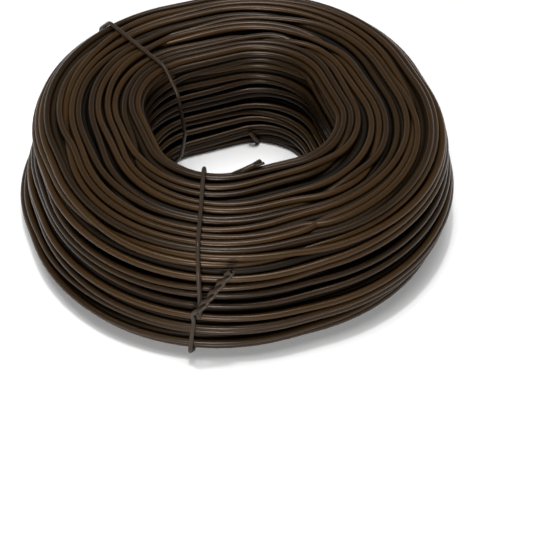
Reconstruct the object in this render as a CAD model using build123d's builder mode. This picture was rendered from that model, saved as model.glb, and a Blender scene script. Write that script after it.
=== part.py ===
from build123d import *
import os
from math import cos, sin, radians

os.makedirs("parts", exist_ok=True)

# Coil: two rounded square rings of turns, the lower one slipped to a side under the rest
BORE_FLATS = 52.0
HEIGHT = 38.0
FLAT_HALF = 6.0
UPPER_CENTRE = Vector(1.2, -0.6, 0)
LOWER_CENTRE = Vector(-1.8, 1.6, 0)

# Section of the bundle: widths out from the bore flat, levels up from the floor
FOOT_WIDTH = 31.0
FLARE_WIDTH = 37.8
FLARE_LEVEL = 6.0
CREASE_WIDTH = 36.4
CREASE_LEVEL = 9.8
BARREL_WIDTH = 38.0
BARREL_LEVEL = 15.0
WAIST_WIDTH = 34.0
WAIST_LEVEL = 25.5
SHOULDER_WIDTH = 33.8
SHOULDER_LEVEL = 33.0
TOP_WIDTH = 28.6

# The two rings overlap inside the bundle, and leave a shallow gap underneath
UPPER_FOOT_WIDTH = 17.0
LOWER_FOOT_START = 21.5
OVERLAP_WIDTH = 12.5
OVERLAP_BOTTOM = 1.0
OVERLAP_TOP = 10.8
UPPER_LEDGE = 8.3
LOWER_COVER_WIDTH = 30.0

# Bands of turns stand out as crests with valleys between them
CREST_PITCH = 7.0
CREST_RELIEF = 0.9

# Tie wire, and the gap that keeps it just clear of the coil
TIE_DIAMETER = 1.2
TIE_SIDES = 6
TIE_GAP = 0.03

# Distances worked out from the sizes above
BORE_HALF = BORE_FLATS / 2
BORE_CORNER = BORE_HALF - FLAT_HALF
TIE_SEAT = TIE_DIAMETER / 2 + TIE_GAP
LOWER_SLIP = LOWER_CENTRE - UPPER_CENTRE

# Upper ring: out of the gap underneath, up the bore, over the top and down to the crease
upper_outline = [
    (UPPER_FOOT_WIDTH, 0),
    (0, 0),
    (0, HEIGHT),
    (TOP_WIDTH, HEIGHT),
    (SHOULDER_WIDTH, SHOULDER_LEVEL),
    (WAIST_WIDTH, WAIST_LEVEL),
    (BARREL_WIDTH, BARREL_LEVEL),
    (CREASE_WIDTH, UPPER_LEDGE),
]
upper_rounding = [3, 3, 4, 4, 4, 6]
upper_inside = [(UPPER_FOOT_WIDTH, UPPER_LEDGE)]

# Lower ring: from the crease over the flare and in along the foot to the gap
lower_outline = [
    (LOWER_COVER_WIDTH, OVERLAP_TOP),
    (CREASE_WIDTH, CREASE_LEVEL),
    (FLARE_WIDTH, FLARE_LEVEL),
    (FOOT_WIDTH, 0),
    (LOWER_FOOT_START, 0),
]
lower_rounding = [1.5, 2.5, 3]
lower_inside = [
    (LOWER_FOOT_START, OVERLAP_BOTTOM),
    (OVERLAP_WIDTH, OVERLAP_BOTTOM),
    (OVERLAP_WIDTH, OVERLAP_TOP),
]


def ring_profile(outline, rounding, inside):
    """Closed profile of a ring, its outline drawn clockwise as a row of crests and valleys."""
    with BuildLine() as rounded:
        FilletPolyline(*outline, radius=rounding)
    edge = rounded.wires()[0]
    crests = round(edge.length / CREST_PITCH)
    profile = [Vector(*outline[0])]
    for crest in range(crests):
        profile.append(edge @ ((crest + 0.5) / crests))
        run = edge % ((crest + 1) / crests)
        profile.append(edge @ ((crest + 1) / crests) + CREST_RELIEF * Vector(run.Y, -run.X, 0))
    profile[-1] = Vector(*outline[-1])
    profile += [Vector(*corner) for corner in inside]
    return [(BORE_HALF + corner.X, corner.Y) for corner in profile]


# One side of each ring: a straight bundle and the corner that follows it
corner_axis = Axis((FLAT_HALF, FLAT_HALF, 0), (0, 0, 1))
side_plane = Plane.XZ.offset(-FLAT_HALF)

with BuildPart() as upper_side:
    with BuildSketch(side_plane) as upper_section:
        with BuildLine():
            Polyline(*ring_profile(upper_outline, upper_rounding, upper_inside), close=True)
        make_face()
    extrude(upper_section.sketch, amount=2 * FLAT_HALF)
    revolve(upper_section.sketch, axis=corner_axis, revolution_arc=90)

with BuildPart() as lower_side:
    with BuildSketch(side_plane) as lower_section:
        with BuildLine():
            Polyline(*ring_profile(lower_outline, lower_rounding, lower_inside), close=True)
        make_face()
    extrude(lower_section.sketch, amount=2 * FLAT_HALF)
    revolve(lower_section.sketch, axis=corner_axis, revolution_arc=90)

# Ties: upright planes out from two corner axes, where x runs outward and y runs up
FRONT_TIE_ANGLE = -118.5
BACK_TIE_ANGLE = 113
FRONT_FOOT_SHIFT = 2.5
CHANNEL_HALF = TIE_SEAT
CHANNEL_DEPTH = 1.8


def tie_plane(angle, corner):
    outward = Vector(cos(radians(angle)), sin(radians(angle)), 0)
    sideways = Vector(outward.Y, -outward.X, 0)
    return Plane(origin=UPPER_CENTRE + corner, x_dir=outward, z_dir=sideways)


front_plane = tie_plane(FRONT_TIE_ANGLE, Vector(-FLAT_HALF, -FLAT_HALF, 0))
back_plane = tie_plane(BACK_TIE_ANGLE, Vector(-FLAT_HALF, FLAT_HALF, 0))
channel_planes = [front_plane.offset(FRONT_FOOT_SHIFT), back_plane]

# The whole coil, with a channel underneath where its weight beds each tie
with BuildPart() as wire_coil:
    with Locations(UPPER_CENTRE):
        with PolarLocations(0, 4):
            add(upper_side.part)
    with Locations(LOWER_CENTRE):
        with PolarLocations(0, 4):
            add(lower_side.part)
    for channel_plane in channel_planes:
        with BuildSketch(channel_plane):
            with Locations((BORE_CORNER + FLARE_WIDTH / 2, 0)):
                Rectangle(FLARE_WIDTH + BORE_CORNER, 2 * CHANNEL_DEPTH)
        extrude(amount=CHANNEL_HALF, both=True, mode=Mode.SUBTRACT)
wire_coil.part.label = "wire_coil"

# Tie closure: both ends wound together, and the tail bent up along the coil
TAIL_PITCH = 9.0
TAIL_STEPS_PER_TURN = 4
TAIL_STEP = TAIL_PITCH / TAIL_STEPS_PER_TURN
TAIL_RADIUS = TIE_SEAT / cos(radians(180 / TAIL_STEPS_PER_TURN))
TAIL_BEND = 1.2
ROOT_BEND = 0.8
SEAT_BEND = 2.2
SLACK_BEND = 6.0


def tail_strand(root, lean, steps, phase):
    """Corners of one wire of the twisted tail, from its root to its tip."""
    along = lean.normalized()
    outward = (Vector(1, 0, 0) - along * along.X).normalized()
    sideways = along.cross(outward)
    corners = []
    for step in range(steps):
        turned = radians(phase + step * 360 / TAIL_STEPS_PER_TURN)
        around = outward * cos(turned) + sideways * sin(turned)
        corners.append(root + along * (step * TAIL_STEP) + around * TAIL_RADIUS)
    return corners


def tie_route(plane, under, loop, over, loop_bends):
    """Centre line of a tie: down one tail strand, round the bundle and up the other."""
    tail_bends = [TAIL_BEND] * (len(under) - 1)
    with BuildLine() as route:
        FilletPolyline(
            *[plane.from_local_coords(corner) for corner in [*reversed(under), *loop, *over]],
            radius=tail_bends + loop_bends + tail_bends,
        )
    return route.wires()[0]


# Where a tie touches the coil: distances out from the corner axis, and levels
BORE_RUN = BORE_CORNER - TIE_SEAT
BARREL_RUN = BORE_CORNER + BARREL_WIDTH + TIE_SEAT
FLARE_RUN = BORE_CORNER + FLARE_WIDTH + TIE_SEAT
FLARE_TOUCH = FLARE_LEVEL - 0.4
FOOT_RUN = BORE_CORNER + FOOT_WIDTH + 1.8
TOP_RUN = HEIGHT + TIE_SEAT
BOTTOM_RUN = TIE_SEAT
shoulder_corners = [
    (BORE_CORNER + TOP_WIDTH + 0.5 * TIE_SEAT, TOP_RUN, 0),
    (BORE_CORNER + SHOULDER_WIDTH + TIE_SEAT, SHOULDER_LEVEL + 0.5 * TIE_SEAT, 0),
]

# Front tie: drawn tight round the section, its foot a little to the left
front_slip = front_plane.x_dir.dot(LOWER_SLIP)
front_root = Vector(BARREL_RUN + 1.8, 19.5, 0.2)
front_lean = Vector(0, 14.5, -9.0)
front_under = tail_strand(front_root, front_lean, 10, 270)
front_over = tail_strand(front_root, front_lean, 10, 90)
front_loop = [
    (BARREL_RUN + 0.7, 17.8, 2.2),
    (BARREL_RUN, 14.5, FRONT_FOOT_SHIFT),
    (FLARE_RUN + front_slip, FLARE_TOUCH, FRONT_FOOT_SHIFT),
    (FOOT_RUN + front_slip, BOTTOM_RUN, FRONT_FOOT_SHIFT),
    (BORE_RUN - 0.17, BOTTOM_RUN, FRONT_FOOT_SHIFT),
    (BORE_RUN, TOP_RUN, 0),
    *shoulder_corners,
    (BARREL_RUN - 0.4, 22.5, -0.2),
    (BARREL_RUN, 17.0, -0.3),
    (BARREL_RUN + 1.8, 17.0, -0.4),
]
front_bends = [ROOT_BEND] * 2 + [SEAT_BEND] * 6 + [ROOT_BEND] * 3
front_wire = tie_route(front_plane, front_under, front_loop, front_over, front_bends)

with BuildPart() as tie_wire_front:
    with BuildSketch(Plane(origin=front_wire @ 0, z_dir=front_wire % 0)):
        RegularPolygon(TIE_DIAMETER / 2, TIE_SIDES)
    sweep(path=front_wire)
tie_wire_front.part.label = "tie_wire_front"

# Back tie: slack, standing clear of the bore wall, its tail turned to the other side
back_slip = back_plane.x_dir.dot(LOWER_SLIP)
back_root = Vector(BARREL_RUN + 1.8, 19.5, -0.2)
back_lean = Vector(0.4, 10.0, 8.0)
back_under = tail_strand(back_root, back_lean, 4, 90)
back_over = tail_strand(back_root, back_lean, 4, 270)
back_loop = [
    (BARREL_RUN + 0.5, 17.6, -1.9),
    (BARREL_RUN, 14.5, 0),
    (FLARE_RUN + back_slip, FLARE_TOUCH, 0),
    (FOOT_RUN + back_slip, BOTTOM_RUN, 0),
    (BORE_CORNER - 2.0, BOTTOM_RUN, 0),
    (BORE_CORNER - 6.0, 7.0, 0),
    (BORE_CORNER - 8.6, 18.0, 0),
    (BORE_CORNER - 5.8, 31.5, 0),
    (BORE_CORNER + 0.5, TOP_RUN, 0),
    *shoulder_corners,
    (BARREL_RUN - 0.4, 22.5, 0.4),
    (BARREL_RUN, 17.0, 0.6),
    (BARREL_RUN + 1.8, 17.0, 0.6),
]
back_bends = [ROOT_BEND] * 2 + [SEAT_BEND] * 3 + [SLACK_BEND] * 4 + [SEAT_BEND] * 2 + [ROOT_BEND] * 3
back_wire = tie_route(back_plane, back_under, back_loop, back_over, back_bends)

with BuildPart() as tie_wire_back:
    with BuildSketch(Plane(origin=back_wire @ 0, z_dir=back_wire % 0)):
        RegularPolygon(TIE_DIAMETER / 2, TIE_SIDES)
    sweep(path=back_wire)
tie_wire_back.part.label = "tie_wire_back"

print("tie bend radii:", TAIL_BEND, *front_bends, *back_bends)

export_step(wire_coil.part, "parts/wire_coil.step")
export_step(tie_wire_front.part, "parts/tie_wire_front.step")
export_step(tie_wire_back.part, "parts/tie_wire_back.step")
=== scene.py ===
import math

import bpy
import numpy as np
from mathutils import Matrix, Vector


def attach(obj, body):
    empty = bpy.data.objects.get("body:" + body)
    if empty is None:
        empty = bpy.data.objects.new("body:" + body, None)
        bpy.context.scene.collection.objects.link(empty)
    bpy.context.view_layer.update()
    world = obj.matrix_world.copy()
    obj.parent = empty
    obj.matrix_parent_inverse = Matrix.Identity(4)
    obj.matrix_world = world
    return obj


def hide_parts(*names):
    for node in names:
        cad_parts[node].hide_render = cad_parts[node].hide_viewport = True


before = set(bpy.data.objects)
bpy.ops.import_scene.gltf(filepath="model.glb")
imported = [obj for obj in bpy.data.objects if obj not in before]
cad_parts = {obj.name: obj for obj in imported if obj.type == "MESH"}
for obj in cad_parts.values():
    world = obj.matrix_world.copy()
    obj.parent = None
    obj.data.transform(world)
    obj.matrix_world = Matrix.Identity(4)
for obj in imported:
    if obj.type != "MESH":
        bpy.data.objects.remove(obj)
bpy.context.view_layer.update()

MM = 0.001

# Sizes of the coil, in millimetres
WIRE = 2.0
TIE = 1.2
BORE_FLATS = 52.0
BORE_HALF = BORE_FLATS / 2
HEIGHT = 38.0
BUNDLE_WIDTH = 38.0

# The coil is a rounded square: half a flat at the bore and at the outside, and its share of a side
BORE_FLAT_HALF = 8.0
RIM_FLAT_HALF = 4.8
FLAT_SHARE = 0.11

# The lower outer turns have slipped to one side, between these levels and these widths
LOWER_SHIFT = (-1.3, 0.9)
UPPER_SHIFT = (1.2, -0.6)
SLIP_LEVELS = (7.0, 13.0)
SLIP_WIDTHS = (4.0, 26.0)

# The front of the bore lies nearer to the middle
FRONT_SHIFT = 2.6
FRONT_REACH = (0.1, 0.7)
FRONT_WIDTHS = (0.0, 16.0)

# Corners of the bundle's section from the bore's foot round the outside to its rim: how far out
# from the bore's flat, how far up, and the radius of the bend
SECTION_CORNERS = (
    (-2.4, 0.0, 3.0),
    (31.0, 0.0, 3.0),
    (37.7, 5.6, 2.5),
    (36.4, 9.8, 1.5),
    (37.3, 15.0, 7.0),
    (34.0, 25.5, 3.0),
    (33.8, 33.0, 4.0),
    (28.6, HEIGHT, 4.0),
    (0.0, HEIGHT, 3.0),
    (0.0, 17.0, 9.0),
)
SECTION_SPACING = 0.1

# How closely the turns lie at the upper end, underneath, in the bore and on the walls
TOP_CROWDING = 1.0
FOOT_CROWDING = 0.85
BORE_CROWDING = 0.85
WALL_CROWDING = 0.72
TOP_DEPTH = 3.5
FOOT_DEPTH = 3.0
BORE_DEPTH = 3.0

# Layers of turns: how deep the middle of the wire lies, and how many turns there are
TURN_LAYERS = {
    "turns_outside": (WIRE / 2, 47),
    "turns_beneath": (WIRE / 2 + 1.8, 50),
}
STATIONS = 128
WIRE_SIDES = 10
SEED = 11

# How the turns wander along the section's outline and in depth, in waves for each turn
WAVES = 14
PLACE_WAVES = (0.1, 2.6)
PLACE_WANDER = 1.1
DEPTH_WAVES = (0.1, 3.2)
DEPTH_WANDER = 0.42
LARGEST_RISE = 0.35

# How the turns settle: each is drawn to its place, and turns that overlap push each other apart
SETTLE_STEPS = 120
PULL = 0.10
PULL_DROP = 0.08
SAME_LAYER_GIVE = 0.42
BENEATH_GIVE = 0.7
OUTSIDE_GIVE = 0.14
STEPS_TO_HOLD = 4
HOLD_SLACK = 0.05
LAST_SMOOTHING = 3

# Tone of the wire: it changes slowly over this many stations
TONE_RUN = 61
MIDDLE_TONE = 0.5

# The body under the turns, near black: painted shade for the gaps between them
CORE_DEPTH = 3.6
CORE_POINTS = 60
CORE_STATIONS = 96

# Angles of the ties, and how far aside each one runs underneath
FRONT_TIE_ANGLE = 241.5
BACK_TIE_ANGLE = 113.0
FOOT_LINES = ((FRONT_TIE_ANGLE, -1.0), (BACK_TIE_ANGLE, 0.0))
FOOT_LINE_END = 34
RIDE_REACH = 3.5
RIDE_LEVELS = (1.0, 4.0)
RIDE_START = -8

# Loose ends of the wire, each with its radius, tone and corners: one forked where it was cut,
# one bent up inside the bore
LOOSE_ENDS = (
    # The forked end's two strands take the darkest tone: painted shade for the shadow that end lies in
    (0.85, 0.0, ((-9.5, -25.0, 36.2), (-6.2, -25.5, 37.5), (-3.4, -25.4, 38.2), (-0.8, -24.4, 38.2))),
    (0.4, 0.0, ((-3.6, -25.6, 38.1), (-2.0, -25.8, 38.5), (-0.2, -25.7, 38.7))),
    (0.75, 0.9, ((15.4, 23.6, 1.4), (14.6, 22.2, 2.2), (13.5, 21.9, 4.4), (12.3, 22.4, 6.6))),
)
LOOSE_END_BEND = 1.5
LOOSE_END_SPACING = 0.4

# Twisted tails of the ties
TAIL_PITCH = 8.0
TAIL_RADIUS = TIE / 2 + 0.02
TAIL_SPACING = 0.5
TAIL_BEND = 0.5
TIE_SPACING = 0.35
TIE_SIDES = 12
TIE_SMOOTHING = 3

# Where the ties touch the coil: how far out, and how far up
SEAT = TIE / 2 + 0.05
BORE_RUN = -SEAT
BARREL_RUN = 37.1 + SEAT
FLARE_RUN = 38.4 + SEAT
SHOULDER_RUN = 33.8 + SEAT
RIM_RUN = 29.1
TOP_RUN = HEIGHT + SEAT - 0.1
FOOT_RUN = SEAT - 0.05
FLARE_LEVEL = 5.6
SHOULDER_LEVEL = 33.2
STAND_OFF = 1.5

# Bends of the ties
ROOT_BEND = 0.8
WALL_BEND = 1.5
EDGE_BEND = 2.2
RIM_BEND = 2.5
SHOULDER_BEND = 3.0
TOP_BEND = 4
SLACK_BEND = 6
WIDE_SLACK_BEND = 8

# Points of an arc, the half angle past which a corner counts as straight, and how much of a run
# one corner may take
ARC_POINTS = 9
STRAIGHT_HALF_ANGLE = 1.55
CORNER_SHARE = 0.49

# Stage, in metres
FLOOR_SIZE = 6
SHADOW_REACH = (0.10, 0.24)
FILL = 0.12
CEILING = (0.15, 0.55)
LAMPS = (
    ("soft_box", (-0.02, 0.0, 0.80), 0.5, 5.6),
    ("glint", (-0.02, -0.06, 0.75), 0.04, 1.6),
    ("key", (-0.35, -0.70, 0.24), 0.12, 4.8),
)

# Camera, in millimetres and degrees
CAMERA_PLACE = (-105.52, -316.89, 324.57)
CAMERA_AIM = (1.49, -23.53, -6.38)
CAMERA_ROLL = 0.39
CAMERA_LENS = 101.3
CAMERA_SENSOR = 36


def smooth_step(low, high, value):
    share = np.clip((value - low) / (high - low), 0, 1)
    return share * share * (3 - 2 * share)


def plan_point(turn, outward, level):
    """Where a wire is, from its share of the turn, its distance out from the bore and its level."""
    turn = np.mod(turn, 1.0)
    quarter = np.floor(turn * 4)
    share = turn * 4 - quarter
    flat = BORE_FLAT_HALF + (RIM_FLAT_HALF - BORE_FLAT_HALF) * outward / BUNDLE_WIDTH
    corner = np.clip((share - FLAT_SHARE) / (1 - 2 * FLAT_SHARE), 0, 1) * math.pi / 2
    before = np.minimum(share / FLAT_SHARE - 1, 0) * flat
    after = np.maximum((share - 1) / FLAT_SHARE + 1, 0) * flat
    radius = BORE_HALF + outward - flat
    x = flat + radius * np.cos(corner) - after
    y = flat + radius * np.sin(corner) + before
    angle = quarter * math.pi / 2
    x_turned = x * np.cos(angle) - y * np.sin(angle)
    y_turned = x * np.sin(angle) + y * np.cos(angle)
    upper = np.maximum(smooth_step(*SLIP_LEVELS, level), 1 - smooth_step(*SLIP_WIDTHS, outward))
    shift_x = LOWER_SHIFT[0] + (UPPER_SHIFT[0] - LOWER_SHIFT[0]) * upper
    shift_y = LOWER_SHIFT[1] + (UPPER_SHIFT[1] - LOWER_SHIFT[1]) * upper
    front = smooth_step(*FRONT_REACH, -y_turned / np.hypot(x_turned, y_turned))
    front_shift = FRONT_SHIFT * front * (1 - smooth_step(*FRONT_WIDTHS, outward))
    return np.stack(
        [x_turned + shift_x, y_turned + shift_y + front_shift, np.broadcast_to(level, x.shape)],
        axis=-1,
    )


def corner_arc(corner, back, ahead, bend):
    """Points of the tangent arc at a corner, given the runs back and ahead from it."""
    back_length = np.linalg.norm(back)
    ahead_length = np.linalg.norm(ahead)
    back_unit = back / back_length
    ahead_unit = ahead / ahead_length
    half = math.acos(np.clip(back_unit @ ahead_unit, -1, 1)) / 2
    if half > STRAIGHT_HALF_ANGLE:
        return [corner]
    reach = min(bend / math.tan(half), back_length * CORNER_SHARE, ahead_length * CORNER_SHARE)
    middle = (back_unit + ahead_unit) / np.linalg.norm(back_unit + ahead_unit)
    centre = corner + middle * (reach * math.tan(half)) / math.sin(half)
    start = corner + back_unit * reach - centre
    end = corner + ahead_unit * reach - centre
    sweep = math.pi - 2 * half
    return [
        centre
        + start * math.sin((1 - part) * sweep) / math.sin(sweep)
        + end * math.sin(part * sweep) / math.sin(sweep)
        for part in np.linspace(0, 1, ARC_POINTS)
    ]


def rounded_route(corners, bends, closed, spacing):
    """Evenly spaced points along straight runs joined by tangent arcs."""
    corners = [np.array(corner, float) for corner in corners]
    count = len(corners)
    points = []
    for index, corner in enumerate(corners):
        if not closed and index in (0, count - 1):
            points.append(corner)
            continue
        back = corners[index - 1] - corner
        ahead = corners[(index + 1) % count] - corner
        points += corner_arc(corner, back, ahead, bends[index])
    if closed:
        points.append(points[0])
    points = np.array(points)
    lengths = np.concatenate([[0], np.cumsum(np.linalg.norm(np.diff(points, axis=0), axis=1))])
    steps = max(int(round(lengths[-1] / spacing)), 8)
    even = np.linspace(0, lengths[-1], steps + 1)
    return np.stack([np.interp(even, lengths, points[:, axis]) for axis in range(points.shape[1])], axis=1)


# The section's outline as evenly spaced points, and which way is inward at each
section = rounded_route(
    [(out, up) for out, up, bend in SECTION_CORNERS],
    [bend for out, up, bend in SECTION_CORNERS],
    True,
    SECTION_SPACING,
)[:-1]
section_run = np.roll(section, -1, axis=0) - np.roll(section, 1, axis=0)
section_run /= np.linalg.norm(section_run, axis=1)[:, None]
section_inward = np.stack([-section_run[:, 1], section_run[:, 0]], axis=1)
section_length = len(section) * np.linalg.norm(section[1] - section[0])

at_top = section[:, 1] > HEIGHT - TOP_DEPTH
at_foot = section[:, 1] < FOOT_DEPTH
at_bore = (section[:, 0] < BORE_DEPTH) & ~at_top
crowding = np.select(
    [at_bore, at_foot, at_top],
    [BORE_CROWDING, FOOT_CROWDING, TOP_CROWDING],
    WALL_CROWDING,
)
crowd_sum = np.concatenate([[0], np.cumsum(crowding)])
crowd_sum /= crowd_sum[-1]


def spread_place(share):
    """Turns a share of all the turns into a place along the outline."""
    whole = np.floor(share)
    place = np.interp(share - whole, crowd_sum, np.linspace(0, section_length, len(section) + 1))
    return place + whole * section_length


def on_section(place, depth):
    """A point of the section: place along its outline in mm, depth in from it."""
    index = np.mod(place / section_length, 1) * len(section)
    low = np.floor(index).astype(int) % len(section)
    high = (low + 1) % len(section)
    share = (index - np.floor(index))[..., None]
    point = section[low] * (1 - share) + section[high] * share
    inward = section_inward[low] * (1 - share) + section_inward[high] * share
    return point + inward * depth[..., None]


def wander(rng, lanes, waves_a_turn, size):
    """A smooth closed noise along the wire of a layer of turns."""
    where = np.arange(lanes * STATIONS) / STATIONS
    noise = np.zeros(lanes * STATIONS)
    for wave in range(WAVES):
        cycles = round(rng.uniform(*waves_a_turn) * lanes)
        noise += math.sqrt(2 / WAVES) * np.sin(2 * math.pi * (where * cycles / lanes + rng.random()))
    return size * noise.reshape(lanes, STATIONS)


def hold_inside(spots):
    """Keeps every turn inside the bundle's outline, apart from a little slack."""
    flat = spots.reshape(-1, 2)
    coarse = section[::4]
    coarse_inward = section_inward[::4]
    nearest = ((flat[:, None, :] - coarse[None, :, :]) ** 2).sum(-1).argmin(1)
    depth = ((flat - coarse[nearest]) * coarse_inward[nearest]).sum(1)
    short = np.clip(WIRE / 2 - HOLD_SLACK - depth, 0, None)
    return (flat + coarse_inward[nearest] * short[:, None]).reshape(spots.shape)


def smooth_along(spots, first, last):
    """Evens out one layer of turns along its wire."""
    line = spots[:, first:last].transpose(1, 0, 2).reshape(-1, 2)
    line = 0.5 * line + 0.25 * (np.roll(line, 1, axis=0) + np.roll(line, -1, axis=0))
    spots[:, first:last] = line.reshape(last - first, STATIONS, 2).transpose(1, 0, 2)


def push_apart(spots, give):
    """How far each turn moves at each station to get clear of the turns that it overlaps."""
    turns = np.arange(spots.shape[1])
    away = spots[:, :, None, :] - spots[:, None, :, :]
    gap = np.sqrt((away**2).sum(-1)) + 1e-6
    gap[:, turns, turns] = math.inf
    push = np.clip(WIRE - gap, 0, None) / gap * give
    return (away * push[..., None]).sum(2)


def lay_turns():
    """Section positions of every turn at every station, one array for each layer."""
    rng = np.random.default_rng(SEED)
    share = np.arange(STATIONS) / STATIONS
    goals = []
    for depth, lanes in TURN_LAYERS.values():
        lane = np.arange(lanes)[:, None] + share[None, :]
        place = spread_place(lane / lanes) + wander(rng, lanes, PLACE_WAVES, PLACE_WANDER)
        deep = depth + wander(rng, lanes, DEPTH_WAVES, DEPTH_WANDER)
        goals.append(on_section(place, np.maximum(deep, depth - LARGEST_RISE)))
    goal = np.concatenate(goals, axis=0).transpose(1, 0, 2).copy()
    ends = np.cumsum([0] + [lanes for depth, lanes in TURN_LAYERS.values()])
    layers = list(zip(ends[:-1], ends[1:]))
    beneath = np.arange(ends[-1]) >= ends[1]
    other_give = np.where(beneath[:, None], BENEATH_GIVE, OUTSIDE_GIVE)
    give = np.where(beneath[:, None] == beneath[None, :], SAME_LAYER_GIVE, other_give)
    spots = goal.copy()
    for step in range(SETTLE_STEPS):
        spots += (PULL - PULL_DROP * (step / SETTLE_STEPS)) * (goal - spots)
        for first, last in layers:
            smooth_along(spots, first, last)
        spots += push_apart(spots, give)
        if step % STEPS_TO_HOLD == STEPS_TO_HOLD - 1:
            spots = hold_inside(spots)
    for first, last in layers:
        for step in range(LAST_SMOOTHING):
            smooth_along(spots, first, last)
    return [spots[:, first:last].transpose(1, 0, 2) for first, last in layers]


def ring_faces(rings, sides, closed):
    """Four-sided faces between each ring of vertices and the next."""
    row = np.arange(rings if closed else rings - 1)[:, None]
    column = np.arange(sides)[None, :]
    here = row * sides
    ahead = (row + 1) % rings * sides
    turned = (column + 1) % sides
    corners = [here + column, here + turned, ahead + turned, ahead + column]
    return np.stack(corners, axis=-1).reshape(-1, 4)


def tube(points, radius, sides, closed, tone):
    """A round wire along points: its vertices, its faces and a tone for each vertex."""
    count = len(points)
    if closed:
        along = np.roll(points, -1, axis=0) - np.roll(points, 1, axis=0)
    else:
        along = np.gradient(points, axis=0)
    along /= np.linalg.norm(along, axis=1)[:, None]
    side = np.cross(along, [0.0, 0.0, 1.0])
    side_length = np.linalg.norm(side, axis=1)[:, None]
    if (side_length < 0.2).any():
        # A route with upright runs carries its side along from the start
        guess = np.cross(along[0], [0.3, 0.5, 0.8])
        for index in range(count):
            guess = guess - along[index] * (guess @ along[index])
            guess /= np.linalg.norm(guess)
            side[index] = guess
    else:
        side /= side_length
    over = np.cross(side, along)
    angle = np.arange(sides) * 2 * math.pi / sides
    rings = (
        points[:, None, :]
        + radius * np.cos(angle)[None, :, None] * side[:, None, :]
        + radius * np.sin(angle)[None, :, None] * over[:, None, :]
    )
    tones = np.repeat(np.broadcast_to(tone, count), sides)
    return rings.reshape(-1, 3), ring_faces(count, sides, closed), tones


def mesh_piece(name, parts):
    """One object from parts, each with its vertices in mm, its faces and its tones."""
    part_verts, part_faces, part_tones = zip(*parts)
    starts = np.cumsum([0] + [len(verts) for verts in part_verts])
    verts = np.concatenate(part_verts) * MM
    faces = np.concatenate([faces + start for faces, start in zip(part_faces, starts)])
    tones = np.concatenate(part_tones)
    mesh = bpy.data.meshes.new(name)
    mesh.vertices.add(len(verts))
    mesh.vertices.foreach_set("co", verts.ravel())
    mesh.loops.add(faces.size)
    mesh.loops.foreach_set("vertex_index", faces.ravel().astype(np.int32))
    mesh.polygons.add(len(faces))
    mesh.polygons.foreach_set("loop_start", np.arange(0, faces.size, 4, dtype=np.int32))
    mesh.update(calc_edges=True)
    mesh.validate()
    mesh.polygons.foreach_set("use_smooth", np.ones(len(mesh.polygons), dtype=bool))
    mesh.attributes.new("tone", "FLOAT", "POINT").data.foreach_set("value", tones.astype(np.float32))
    piece = bpy.data.objects.new(name, mesh)
    bpy.context.collection.objects.link(piece)
    return piece


def tie_place(angle, spot):
    """A tie's point, given outward from the bore's flat, up and sideways, at an angle round the coil."""
    outward, up, sideways = spot
    quarter, corner = divmod(angle / 90, 1)
    turn = (quarter + FLAT_SHARE + (1 - 2 * FLAT_SHARE) * corner) / 4
    point = plan_point(np.array(turn), np.array(float(outward)), np.array(float(up)))
    radians = math.radians(angle)
    return point + sideways * np.array([math.sin(radians), -math.cos(radians), 0])


def clear_of_ties(points):
    """The lowest turns ride up where they cross a tie underneath."""
    lifted = points.copy()
    for angle, foot in FOOT_LINES:
        bore_end = tie_place(angle, (0, 0, foot))
        rim_end = tie_place(angle, (FOOT_LINE_END, 0, foot))
        line = (rim_end - bore_end)[:2] / np.linalg.norm(rim_end - bore_end)
        aside = (points[:, 0] - bore_end[0]) * line[1] - (points[:, 1] - bore_end[1]) * line[0]
        out = (points[:, 0] - bore_end[0]) * line[0] + (points[:, 1] - bore_end[1]) * line[1]
        low = 1 - smooth_step(*RIDE_LEVELS, points[:, 2])
        lifted[:, 2] += TIE * np.exp(-((aside / RIDE_REACH) ** 2)) * low * (out > RIDE_START)
    lifted[:, 2] = np.maximum(lifted[:, 2], WIRE / 2)
    return lifted


def turns_piece(name, spots, rng):
    """One layer of turns as a single closed wire."""
    lanes = len(spots)
    share = np.broadcast_to(np.arange(STATIONS) / STATIONS, (lanes, STATIONS))
    points = plan_point(share.ravel(), spots[:, :, 0].ravel(), spots[:, :, 1].ravel())
    tone = np.repeat(rng.random(lanes), STATIONS)
    tone = np.convolve(np.tile(tone, 3), np.ones(TONE_RUN) / TONE_RUN, "same")[len(tone) : 2 * len(tone)]
    return mesh_piece(name, [tube(clear_of_ties(points), WIRE / 2, WIRE_SIDES, True, tone)])


def core_piece():
    """A solid body under the turns, near black: painted shade for the gaps between them."""
    step = len(section) // CORE_POINTS
    spots = section[::step] + section_inward[::step] * CORE_DEPTH
    share = np.arange(CORE_STATIONS) / CORE_STATIONS
    rings = [plan_point(share, np.full(len(share), out), np.full(len(share), up)) for out, up in spots]
    verts = np.concatenate(rings)
    faces = ring_faces(len(rings), CORE_STATIONS, True)
    return mesh_piece("turns_deep", [(verts, faces, np.full(len(verts), MIDDLE_TONE))])


def loose_ends_piece():
    """The loose ends of the wire, joined in one piece."""
    tubes = []
    for radius, tone, corners in LOOSE_ENDS:
        route = rounded_route(corners, [LOOSE_END_BEND] * len(corners), False, LOOSE_END_SPACING)
        tubes.append(tube(route, radius, WIRE_SIDES, False, tone))
    return mesh_piece("loose_ends", tubes)


def tail_strand(root, lean, length, phase):
    """Corners of one wire of a twisted tail, from its root to its tip."""
    along = np.array(lean, float) / np.linalg.norm(lean)
    outward = np.array([1.0, 0, 0]) - along * along[0]
    outward /= np.linalg.norm(outward)
    sideways = np.cross(along, outward)
    corners = []
    for run in np.arange(0, length, TAIL_SPACING):
        turned = math.radians(phase) + run / TAIL_PITCH * 2 * math.pi
        around = outward * math.cos(turned) + sideways * math.sin(turned)
        corners.append((*(np.array(root) + along * run + around * TAIL_RADIUS), TAIL_BEND))
    return corners


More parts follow.
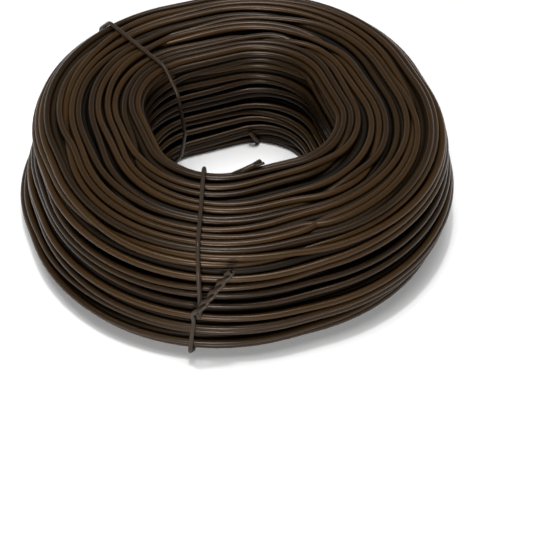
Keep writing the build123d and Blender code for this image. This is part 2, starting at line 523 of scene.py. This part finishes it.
def tie_piece(name, angle, root, lean, length, phases, loop):
    """A tie: down one strand of its tail, round the bundle and up the other strand."""
    under = tail_strand(root, lean, length, phases[0])[::-1]
    over = tail_strand(root, lean, length, phases[1])
    spots = under + loop + over
    corners = [tie_place(angle, spot[:3]) for spot in spots]
    route = rounded_route(corners, [spot[3] for spot in spots], False, TIE_SPACING)
    for step in range(TIE_SMOOTHING):
        route[1:-1] = 0.5 * route[1:-1] + 0.25 * (route[2:] + route[:-2])
    return mesh_piece(name, [tube(route, TIE / 2, TIE_SIDES, False, MIDDLE_TONE)])


# The turns, the body under them and the loose ends
tone_rng = np.random.default_rng(SEED + 1)
turn_pieces = [turns_piece(name, spots, tone_rng) for name, spots in zip(TURN_LAYERS, lay_turns())]
turn_pieces.append(core_piece())
turn_pieces.append(loose_ends_piece())

# Front tie, drawn tight: each corner is how far out, up and aside it lies, and its bend
front_tie = tie_piece(
    "front_tie",
    FRONT_TIE_ANGLE,
    root=(BARREL_RUN + STAND_OFF, 22.7, -1.3),
    lean=(-3.2, 13.6, -8.7),
    length=17.6,
    phases=(270, 90),
    loop=[
        (BARREL_RUN + 0.6, 20.8, 0.4, ROOT_BEND),
        (BARREL_RUN, 17.6, 0.0, WALL_BEND),
        (FLARE_RUN, FLARE_LEVEL, -1.6, EDGE_BEND),
        (33.8, FOOT_RUN, -1.6, EDGE_BEND),
        (BORE_RUN, FOOT_RUN, 0.0, EDGE_BEND),
        (BORE_RUN, TOP_RUN, 1.3, 2.4),
        (24.0, TOP_RUN, 0, TOP_BEND),
        (RIM_RUN, TOP_RUN, -0.4, RIM_BEND),
        (SHOULDER_RUN, SHOULDER_LEVEL, -1.2, SHOULDER_BEND),
        (BARREL_RUN - 0.5, 26.2, -1.8, WALL_BEND),
        (BARREL_RUN, 20.3, -1.8, ROOT_BEND),
        (BARREL_RUN + STAND_OFF, 20.3, -1.8, ROOT_BEND),
    ],
)

# Back tie, slack: it stands clear of the bore wall
back_tie = tie_piece(
    "back_tie",
    BACK_TIE_ANGLE,
    root=(BARREL_RUN + STAND_OFF, 19.5, -0.2),
    lean=(0.4, 10.0, 8.0),
    length=7.0,
    phases=(90, 270),
    loop=[
        (BARREL_RUN + 0.5, 17.6, -1.9, ROOT_BEND),
        (BARREL_RUN, 14.5, 0, WALL_BEND),
        (BARREL_RUN, FLARE_LEVEL, 0, EDGE_BEND),
        (32.0, FOOT_RUN, 0, EDGE_BEND),
        (-2.0, FOOT_RUN, 0, EDGE_BEND),
        (-6.0, 7.0, 0, SLACK_BEND),
        (-8.6, 18.0, 0, WIDE_SLACK_BEND),
        (-5.8, 31.5, 0, SLACK_BEND),
        (0.5, TOP_RUN, 0, TOP_BEND),
        (RIM_RUN, TOP_RUN, 0, RIM_BEND),
        (SHOULDER_RUN, SHOULDER_LEVEL, 0, SHOULDER_BEND),
        (BARREL_RUN - 0.5, 23.0, 0.4, WALL_BEND),
        (BARREL_RUN, 17.0, 0.6, ROOT_BEND),
        (BARREL_RUN + STAND_OFF, 17.0, 0.4, ROOT_BEND),
    ],
)


def shader(name):
    material = bpy.data.materials.new(name)
    material.use_nodes = True
    tree = material.node_tree
    return material, tree, tree.nodes["Principled BSDF"]


def add_node(tree, kind, values=(), **options):
    """A new node of a tree, with the values of some inputs given in pairs."""
    node = tree.nodes.new("ShaderNode" + kind)
    for option, value in options.items():
        setattr(node, option, value)
    for socket, value in values:
        node.inputs[socket].default_value = value
    return node


def wire_material(name, lit, dark, rough, sheen):
    """Annealed wire: olive brown oxide with blacker patches and a thin oily sheen."""
    material, tree, surface = shader(name)
    join = tree.links.new
    place = add_node(tree, "TexCoord")
    patches = add_node(tree, "TexNoise", [("Scale", 60), ("Detail", 4)])
    specks = add_node(tree, "TexNoise", [("Scale", 1400), ("Detail", 3)])
    for noise in (patches, specks):
        join(place.outputs["Object"], noise.inputs["Vector"])
    tone = add_node(tree, "Attribute", attribute_name="tone")
    mixed = add_node(tree, "Math", operation="ADD")
    join(tone.outputs["Fac"], mixed.inputs[0])
    join(patches.outputs["Fac"], mixed.inputs[1])
    ramp = add_node(tree, "MapRange", [("From Min", 0.6), ("From Max", 1.4)])
    join(mixed.outputs[0], ramp.inputs["Value"])
    colour = add_node(tree, "Mix", data_type="RGBA")
    colour.inputs["A"].default_value = (*dark, 1)
    colour.inputs["B"].default_value = (*lit, 1)
    join(ramp.outputs["Result"], colour.inputs["Factor"])
    join(colour.outputs["Result"], surface.inputs["Base Color"])
    surface.inputs["Metallic"].default_value = 0.2
    surface.inputs["Specular IOR Level"].default_value = sheen
    roughness = add_node(tree, "MapRange", [("To Min", rough - 0.08), ("To Max", rough + 0.12)])
    join(specks.outputs["Fac"], roughness.inputs["Value"])
    join(roughness.outputs["Result"], surface.inputs["Roughness"])
    bump = add_node(tree, "Bump", [("Strength", 0.12), ("Distance", 0.00005)])
    join(specks.outputs["Fac"], bump.inputs["Height"])
    join(bump.outputs["Normal"], surface.inputs["Normal"])
    return material


# Materials of the wires
coil_wire = wire_material("coil_wire", (0.036, 0.0178, 0.0052), (0.018, 0.0094, 0.0032), 0.30, 0.21)
# Turns beneath: the same wire in darker colours with less sheen, painted shade in the gaps between the
# outer turns
beneath_wire_painted_shade = wire_material("beneath_wire_painted_shade", (0.014, 0.0080, 0.0028), (0.004, 0.0025, 0.0011), 0.5, 0.12)
tie_wire = wire_material("tie_wire", (0.040, 0.024, 0.013), (0.016, 0.010, 0.006), 0.4, 0.25)
# The body under the turns: the same wire coloured near black, painted shade in the gaps between turns
core_painted_shade = wire_material("core_painted_shade", (0.008, 0.005, 0.003), (0.003, 0.002, 0.001), 0.8, 0.12)

WIRE_LOOKS = {
    "turns_outside": coil_wire,
    "turns_beneath": beneath_wire_painted_shade,
    "turns_deep": core_painted_shade,
    "loose_ends": coil_wire,
}
for piece in turn_pieces:
    piece.data.materials.append(WIRE_LOOKS[piece.name])
    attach(piece, "root")
    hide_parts("wire_coil")
for piece, node in ((front_tie, "tie_wire_front"), (back_tie, "tie_wire_back")):
    piece.data.materials.append(tie_wire)
    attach(piece, "root")
    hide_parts(node)


def seen_directly(tree):
    """1 for the rays that look at the surroundings, 0 for the light that falls from them."""
    path = add_node(tree, "LightPath")
    total = path.outputs["Is Camera Ray"]
    for ray in ("Is Glossy Ray", "Is Transmission Ray"):
        add = add_node(tree, "Math", operation="ADD", use_clamp=True)
        tree.links.new(total, add.inputs[0])
        tree.links.new(path.outputs[ray], add.inputs[1])
        total = add.outputs[0]
    return total


def paper_material():
    """Pale paper that shows shadows near the coil and is plain white further off."""
    paper, tree, surface = shader("paper")
    join = tree.links.new
    surface.inputs["Base Color"].default_value = (0.9, 0.9, 0.9, 1)
    surface.inputs["Roughness"].default_value = 1
    place = add_node(tree, "TexCoord")
    distance = add_node(tree, "VectorMath", operation="LENGTH")
    join(place.outputs["Object"], distance.inputs[0])
    near, far = SHADOW_REACH
    fade = add_node(tree, "MapRange", [("From Min", near), ("From Max", far)])
    fade.interpolation_type = "SMOOTHSTEP"
    join(distance.outputs["Value"], fade.inputs["Value"])
    fade_seen = add_node(tree, "Math", operation="MULTIPLY")
    join(fade.outputs["Result"], fade_seen.inputs[0])
    join(seen_directly(tree), fade_seen.inputs[1])
    white = add_node(tree, "Emission", [("Color", (1, 1, 1, 1)), ("Strength", 1)])
    mixed = add_node(tree, "MixShader")
    join(fade_seen.outputs[0], mixed.inputs["Fac"])
    join(surface.outputs[0], mixed.inputs[1])
    join(white.outputs[0], mixed.inputs[2])
    join(mixed.outputs[0], tree.nodes["Material Output"].inputs["Surface"])
    return paper


def studio_world():
    """Soft white fill, with a backdrop that is white at the horizon where it is looked at."""
    world = bpy.data.worlds.new("studio")
    bpy.context.scene.world = world
    world.use_nodes = True
    tree = world.node_tree
    join = tree.links.new
    fill = tree.nodes["Background"]
    fill.inputs["Color"].default_value = (1, 1, 1, 1)
    fill.inputs["Strength"].default_value = FILL
    backdrop = add_node(tree, "Background", [("Color", (1, 1, 1, 1))])
    direction = add_node(tree, "TexCoord")
    height = add_node(tree, "SeparateXYZ")
    join(direction.outputs["Generated"], height.inputs[0])
    low, high = CEILING
    heights = [("From Min", low), ("From Max", high)]
    ceiling = add_node(tree, "MapRange", heights + [("To Min", 1), ("To Max", FILL)])
    join(height.outputs["Z"], ceiling.inputs["Value"])
    join(ceiling.outputs["Result"], backdrop.inputs["Strength"])
    sky = add_node(tree, "MixShader")
    join(seen_directly(tree), sky.inputs["Fac"])
    join(fill.outputs[0], sky.inputs[1])
    join(backdrop.outputs[0], sky.inputs[2])
    join(sky.outputs[0], tree.nodes["World Output"].inputs["Surface"])


def aim(thing, direction):
    """Turns a lamp or the camera to look along a direction."""
    thing.rotation_euler = direction.to_track_quat("-Z", "Y").to_euler()


# Floor, light and camera
bpy.ops.mesh.primitive_plane_add(size=FLOOR_SIZE)
floor = bpy.context.object
floor.name = "floor"
floor.data.materials.append(paper_material())

studio_world()
for name, place, size, energy in LAMPS:
    lamp_data = bpy.data.lights.new(name, "AREA")
    lamp_data.size = size
    lamp_data.energy = energy
    lamp = bpy.data.objects.new(name, lamp_data)
    lamp.location = place
    bpy.context.collection.objects.link(lamp)
    aim(lamp, -lamp.location)

camera_data = bpy.data.cameras.new("camera")
camera_data.lens = CAMERA_LENS
camera_data.sensor_width = CAMERA_SENSOR
camera = bpy.data.objects.new("camera", camera_data)
bpy.context.collection.objects.link(camera)
camera.location = [value * MM for value in CAMERA_PLACE]
aim(camera, Vector(CAMERA_AIM) - Vector(CAMERA_PLACE))
camera.rotation_euler.rotate_axis("Z", math.radians(CAMERA_ROLL))
bpy.context.scene.camera = camera
bpy.context.scene.view_settings.view_transform = "Standard"
